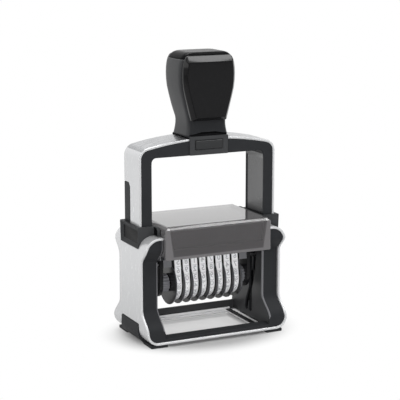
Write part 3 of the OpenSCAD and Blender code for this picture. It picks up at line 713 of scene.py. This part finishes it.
WALL, PAINTED_HIGHLIGHT, PAINTED_SHADE = 1, 2, 3
for face in posts.faces:
    middle = face.calc_center_median()
    inward = -face.normal.x if middle.x > 0 else face.normal.x
    on_post = abs(middle.x) > WALL_BEGINS
    inner_wall = on_post and inward > WALL_TILT
    rear_rail = abs(middle.x) < WALL_BEGINS and middle.y > RAIL_BACK and face.normal.y < -RAIL_TILT
    in_groove = abs(middle.x) > GROOVE_FLOOR and abs(middle.y) < GROOVE_HALF_Y and middle.z < GROOVE_TOP
    if inner_wall or rear_rail:
        face.material_index = WALL
    # painted shade: the grooves get the blackest finish
    if inner_wall and in_groove:
        face.material_index = PAINTED_SHADE
    # painted highlight: the front corner faces get the grey finish
    painted_highlight_corner = on_post and min(inward, -face.normal.y) > CORNER_TILT
    if painted_highlight_corner and middle.z > RAIL_TOP:
        face.material_index = PAINTED_HIGHLIGHT
skin("base_frame", posts, charcoal, wall_charcoal, unit_grey, cap_black)

# %% [markdown]
# ### Guide blocks and feet
# The guide blocks have a shallow pocket in their outer side, and the feet are plain. A pocket could be cut
# with a boolean, but an inset that sinks the face is cleaner. `panel` finds all faces that look one way at
# one place, and sinks them inside a border. The floor of the pocket gets the blackest finish, as painted
# shade.

# %% Guide blocks and feet
POCKET_BORDER = 2.2 * MM
POCKET_DEPTH = 1.3 * MM
STRAIGHT = 0.999
NEARLY_STRAIGHT = 0.99
SAME_PLACE = 0.05 * MM


def panel(bm, direction, place, border, depth):
    chosen = [f for f in bm.faces if f.normal.dot(direction) > STRAIGHT
              and abs(f.calc_center_median().dot(direction) - place) < SAME_PLACE]
    bmesh.ops.inset_region(bm, faces=chosen, thickness=border, depth=-depth, use_boundary=True,
                           use_even_offset=True)


for side, sign in (("left", -1), ("right", 1)):
    block = welded_copy(side + "_guide_block")
    outward = Vector((sign, 0, 0))
    outer = max(v.co.dot(outward) for v in block.verts)
    panel(block, outward, outer, POCKET_BORDER, POCKET_DEPTH)
    round_edges(block, width=0.3 * MM)
    # painted shade: the pocket floor gets the blackest finish
    for face in block.faces:
        depth = outer - face.calc_center_median().dot(outward)
        if face.normal.dot(outward) > NEARLY_STRAIGHT and depth > POCKET_DEPTH / 2:
            face.material_index = 1
    skin(side + "_guide_block", block, block_charcoal, cap_black, name=side + "_block_skin")
    dress(side + "_foot", charcoal, width=0.4 * MM)

# %% [markdown]
# ### Cover, cartridge and pad
# Behind the smoked cover stands the ink cartridge, which is seen as a dark trapezium through the sheet. A
# mould needs this draft, so that the tray comes out of it. The copy of the solid is narrowed towards its
# foot, and its nose is set back a little. Scaling its points is simpler than a new tray, and keeps it
# inside the solid.

# %% Cover, cartridge and pad
CARTRIDGE_FOOT_SHARE = 0.905
CARTRIDGE_TOP_SHARE = 0.965
CARTRIDGE_NOSE = -19 * MM
NOSE_SET_BACK = 0.8 * MM

dress("cover", smoked, width=0.5 * MM, segments=3)
cartridge = welded_copy("ink_cartridge")
cartridge_low = min(v.co.z for v in cartridge.verts)
cartridge_high = max(v.co.z for v in cartridge.verts)
for vert in cartridge.verts:
    rise = (vert.co.z - cartridge_low) / (cartridge_high - cartridge_low)
    vert.co.x *= CARTRIDGE_FOOT_SHARE + (CARTRIDGE_TOP_SHARE - CARTRIDGE_FOOT_SHARE) * rise
    if vert.co.y < CARTRIDGE_NOSE:
        vert.co.y += NOSE_SET_BACK
round_edges(cartridge, width=0.4 * MM)
skin("ink_cartridge", cartridge, cartridge_black)
dress("ink_pad", ink_felt, width=0.6 * MM)

# %% [markdown]
# ## Bow
# The inner bow is black, with a shallow shiny panel down the inside of each leg, whose black is painted
# lighter as a painted sheen. `panel` sinks it, as on the guide blocks.

# %% Black inner bow
LEG_INNER = 31.75 * MM
LEG_PANEL_BORDER = 1.6 * MM
LEG_PANEL_DEPTH = 0.7 * MM

liner = welded_copy("bow_liner")
for sign in (-1, 1):
    panel(liner, Vector((-sign, 0, 0)), -LEG_INNER, LEG_PANEL_BORDER, LEG_PANEL_DEPTH)
round_edges(liner, width=0.35 * MM)
# painted sheen: the panel faces get the lighter black
for face in liner.faces:
    depth = abs(face.calc_center_median().x) - LEG_INNER
    if abs(face.normal.x) > NEARLY_STRAIGHT and 0 < depth < 1.3 * LEG_PANEL_DEPTH:
        face.material_index = 1
skin("bow_liner", liner, charcoal, leg_panel_painted_sheen)

# %% [markdown]
# The silver outer bow is bent from the same sheet as the band of the base, so it has the same rounding and
# the same rims with their painted highlight. Its crown was brushed along its length, and gets the darker
# finish with long strokes, whose tone is painted reflection. The black saddle on it carries the handle and
# the lock button.

# %% Silver bow, saddle and lock button
CROWN_TILT = 0.7

bow = welded_copy("bow_band")
round_edges(bow, SHEET_ROUND, segments=4)
BOW_RIM_PAINTED_HIGHLIGHT, BOW_CROWN_PAINTED_REFLECTION = 1, 2
# rims get the painted highlight, the crown the painted reflection
for face in bow.faces:
    if abs(face.normal.y) > RIM_TILT:
        face.material_index = BOW_RIM_PAINTED_HIGHLIGHT
    elif face.normal.z > CROWN_TILT:
        face.material_index = BOW_CROWN_PAINTED_REFLECTION
skin("bow_band", bow, satin_silver, rim_silver_painted_highlight, crown_silver_painted_reflection)
dress("bridge_block", block_charcoal, width=0.5 * MM)
dress("lock_button", button_grey, width=0.5 * MM, segments=3)

# %% [markdown]
# ## Handle
# The grip is one soft moulding. At its foot, in front, a low dark arch shows where it stands hollow over the
# saddle, and the shade in it is painted. A boolean could cut it, but the skirt is curved and thin. So three
# planes score the front faces along the arch, a flat crown and two slopes, and the faces below all three are
# sunk and painted black as painted shade.

# %% Arch of the gap under the grip
GAP_HALF = 10.6 * MM
GAP_CROWN_HALF = 4.0 * MM
GAP_END = 0.7 * MM
GAP_CROWN = 2.0 * MM
GAP_DEPTH = 1.2 * MM
SKIRT_HEIGHT = 4 * MM
SKIRT_TILT = 0.3

core = welded_copy("handle_core")
round_edges(core, width=0.5 * MM, sharper_than=50)
core_foot = min(v.co.z for v in core.verts)
arch = [(Vector((0, 0, core_foot + GAP_CROWN)), Vector((0, 0, 1)))]
for sign in (-1, 1):
    arch_end = Vector((sign * GAP_HALF, 0, core_foot + GAP_END))
    upward = Vector((sign * (GAP_CROWN - GAP_END), 0, GAP_HALF - GAP_CROWN_HALF)).normalized()
    arch.append((arch_end, upward))


def in_front_skirt(face):
    middle = face.calc_center_median()
    in_front = face.normal.y < -SKIRT_TILT and abs(middle.x) < GAP_HALF
    return in_front and middle.z < core_foot + SKIRT_HEIGHT


print("arch:", len(arch), "planes over the foot at", round(core_foot / MM, 1), "mm")

# %% [markdown]
# `score` draws edges where a plane crosses some faces, and changes nothing else. It is the bisect
# operator with both halves kept.

# %% Grip
ON_PLANE = 0.001 * MM
GAP_LIP = 0.02 * MM


def score(bm, faces, place, normal):
    edges = dict.fromkeys(e for f in faces for e in f.edges)
    verts = dict.fromkeys(v for f in faces for v in f.verts)
    bmesh.ops.bisect_plane(bm, geom=[*verts, *edges, *faces], plane_co=place, plane_no=normal,
                           dist=ON_PLANE)


def under_arch(face):
    middle = face.calc_center_median()
    return all((middle - place).dot(upward) < 0 for place, upward in arch)


for place, upward in arch:
    score(core, [f for f in core.faces if in_front_skirt(f)], place, upward)
gap = [f for f in core.faces if in_front_skirt(f) and under_arch(f)]
sunk = bmesh.ops.inset_region(core, faces=gap, thickness=GAP_LIP, depth=-GAP_DEPTH, use_even_offset=True)
# painted shade: the sunk faces get the blackest finish
for face in (*gap, *sunk["faces"]):
    face.material_index = 1
skin("handle_core", core, soft_grip, cap_black)

# %% [markdown]
# The cap and the front plate are set into the grip as separate gloss pieces. Their solids already have
# the right curves, so they only need rounded edges.

# %% Cap and front plate
dress("handle_cap", cap_black, width=0.4 * MM, sharper_than=50)
dress("handle_front_plate", gloss_black, width=0.35 * MM)

# %% [markdown]
# The back plate runs out thin at its lower end, so that the side of the handle is one smooth curve. The
# plate is scored at a few levels first, because a large flat face would warp, and then its thickness
# follows a quarter of a sine wave. A lattice would bend it too, but this formula is exact and needs no
# second object.

# %% Back plate
RUN_OUT = 9 * MM
RUN_OUT_STEPS = 6
RUN_OUT_THIN = 0.45

back_plate = welded_copy("handle_back_plate")
plate_foot = min(v.co.z for v in back_plate.verts)
plate_seat = min(v.co.y for v in back_plate.verts)
for step in range(1, RUN_OUT_STEPS + 1):
    level = Vector((0, 0, plate_foot + RUN_OUT * step / RUN_OUT_STEPS))
    score(back_plate, list(back_plate.faces), level, Vector((0, 0, 1)))
for vert in back_plate.verts:
    rise = min((vert.co.z - plate_foot) / RUN_OUT, 1.0)
    thickness = RUN_OUT_THIN + (1 - RUN_OUT_THIN) * math.sin(rise * math.pi / 2)
    vert.co.y = plate_seat + (vert.co.y - plate_seat) * thickness
round_edges(back_plate, width=0.35 * MM)
skin("handle_back_plate", back_plate, gloss_black)

# %% [markdown]
# ## Number unit
# Two cheeks carry the axle, and a grey bar, the anvil, backs the bands where they print. The middle of the
# bar, seen in the gaps between the bands, is painted black as painted shade, so it is scored at both ends of
# the row of bands and painted there.

# %% Cheeks, anvil and hubs
SHADE_MARGIN = 1.4 * MM
BAND_COUNT = sum(node.startswith("number_band_") for node in frame["nodes"])

for side in ("left", "right"):
    dress(side + "_cheek", disc_black, width=0.3 * MM)
anvil = welded_copy("anvil")
round_edges(anvil, width=0.3 * MM)
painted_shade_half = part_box(f"number_band_{BAND_COUNT}")[1].x + SHADE_MARGIN
for sign in (-1, 1):
    score(anvil, list(anvil.faces), Vector((sign * painted_shade_half, 0, 0)), Vector((1, 0, 0)))
# painted shade: the middle of the anvil, behind the gaps between the bands, gets the black finish
for face in anvil.faces:
    if abs(face.calc_center_median().x) < painted_shade_half:
        face.material_index = 1
skin("anvil", anvil, unit_grey, disc_black)
# painted highlight: the black hubs get a grey finish
dress("axle_hubs", hub_painted_highlight, width=0.1 * MM, segments=1)

# %% [markdown]
# ### Finger discs and bands
# Each band has a thin disc beside it that is turned with a finger, and a ninth disc closes the row. The
# flats of a disc are dull and its rim shines, so the rim's faces, which do not look along the axle, get the
# coated finish, whose black is painted lighter as a painted sheen. The discs are alike, so one function
# dresses them.

# %% Finger discs and bands
DISC_RIM_TILT = 0.5


def dress_disc(node):
    disc = welded_copy(node)
    round_edges(disc, width=0.2 * MM)
    for face in disc.faces:
        if abs(face.normal.x) < DISC_RIM_TILT:
            face.material_index = 1
    skin(node, disc, disc_black, wheel_black)


dress_disc("end_disc")
for i in range(1, BAND_COUNT + 1):
    dress_disc(f"number_wheel_{i}")
    dress(f"number_band_{i}", band_white, width=0.2 * MM)

# %% [markdown]
# ### Pins, axle and screws
# These are plain turned parts. A small rounding is all that they need, because the steel's own grain
# shows how they were made.

# %% Pins, axle and screws
for node in ("wheel_axle", "pivot_pins", "cam_pins", "handle_screws"):
    dress(node, bright_steel, width=0.3 * MM)

# %% [markdown]
# ## Numbers on the bands
# Each band carries raised figures with a bar between them, mirrored as on every stamp. A picture of
# numbers would lie flat, and a Curve modifier would need one curve for each band. So a figure starts as
# flat text that is made a mesh, and a bar as a scaled cube.

# %% A figure and a bar
FIGURE_HEIGHT = 2.8 * MM
FIGURE_RAISE = 0.07 * MM
FIGURE_BOLD = 0.05 * MM
FONT_SHARE = 0.7
BAR_WIDTH = 2.4 * MM
BAR_HEIGHT = 0.25 * MM
BAR_ABOVE = 0.72


def figure(character):
    text = bpy.data.curves.new("figure", "FONT")
    text.body = character
    text.align_x = "CENTER"
    text.align_y = "CENTER"
    text.size = FIGURE_HEIGHT / FONT_SHARE
    text.offset = FIGURE_BOLD
    text.resolution_u = 2
    text.extrude = FIGURE_RAISE
    holder = bpy.data.objects.new("figure", text)
    mesh = bpy.data.meshes.new_from_object(holder)
    bpy.data.objects.remove(holder)
    return mesh


def cross_bar():
    bm = bmesh.new()
    bmesh.ops.create_cube(bm, size=1)
    bmesh.ops.scale(bm, vec=(BAR_WIDTH, BAR_HEIGHT, 2 * FIGURE_RAISE), verts=bm.verts)
    bmesh.ops.translate(bm, vec=(0, FIGURE_HEIGHT * BAR_ABOVE, 0), verts=bm.verts)
    mesh = bpy.data.meshes.new("cross_bar")
    bm.to_mesh(mesh)
    bm.free()
    return mesh


figures = [figure(str(digit)) for digit in range(10)]
bar = cross_bar()
print("figures:", len(figures), "of", round(FIGURE_HEIGHT / MM, 1), "mm")

# %% [markdown]
# Every point of a figure is then laid on the loop of its band: across the band, along the loop, and a
# little outwards. The loop is the convex outline of the band's solid, measured by its length. Each band
# starts at another figure, as bands that have been used do.

# %% Figures on the bands
FIGURE_PLACES = 18
FIGURE_SHIFT = 3


def loop_of(node):
    flat = [Vector((v.co.y, v.co.z)) for v in frame["nodes"][node].data.vertices]
    corners = [flat[i] for i in convex_hull_2d(flat)]
    lengths = [(corners[i - 1] - corners[i]).length for i in range(len(corners))]
    return corners, lengths


def on_loop(corners, lengths, along):
    along = along % sum(lengths)
    for i, length in enumerate(lengths):
        if along <= length:
            break
        along -= length
    start, end = corners[i - 1], corners[i]
    tangent = (end - start).normalized()
    return start + tangent * along, Vector((tangent.y, -tangent.x))


for i in range(1, BAND_COUNT + 1):
    node = f"number_band_{i}"
    corners, lengths = loop_of(node)
    low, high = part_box(node)
    middle = (low.x + high.x) / 2
    bm = bmesh.new()
    for place in range(FIGURE_PLACES):
        known = set(bm.verts)
        bm.from_mesh(figures[(place + FIGURE_SHIFT * i) % len(figures)])
        bm.from_mesh(bar)
        start = sum(lengths) * place / FIGURE_PLACES
        for vert in bm.verts:
            if vert not in known:
                spot, out = on_loop(corners, lengths, start - vert.co.y)
                spot = spot + out * vert.co.z
                vert.co = (middle - vert.co.x, spot.x, spot.y)
    bmesh.ops.reverse_faces(bm, faces=bm.faces)
    add_piece(f"figures_{i}", bm, [digit_grey], "number_unit")

# %% [markdown]
# ## Springs
# The two return springs stand in the posts. When the bow comes down they are pressed short. Here each spring
# only gets the oiled finish and a mesh of its own; it is not squashed with the bow.

for side in ("left", "right"):
    spring = welded_copy(side + "_return_spring", flatness=0.1)
    middle = sum((v.co for v in spring.verts), Vector()) / len(spring.verts)
    coil = skin(side + "_return_spring", spring, oiled_steel, name=side + "_coil")
    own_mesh(coil)
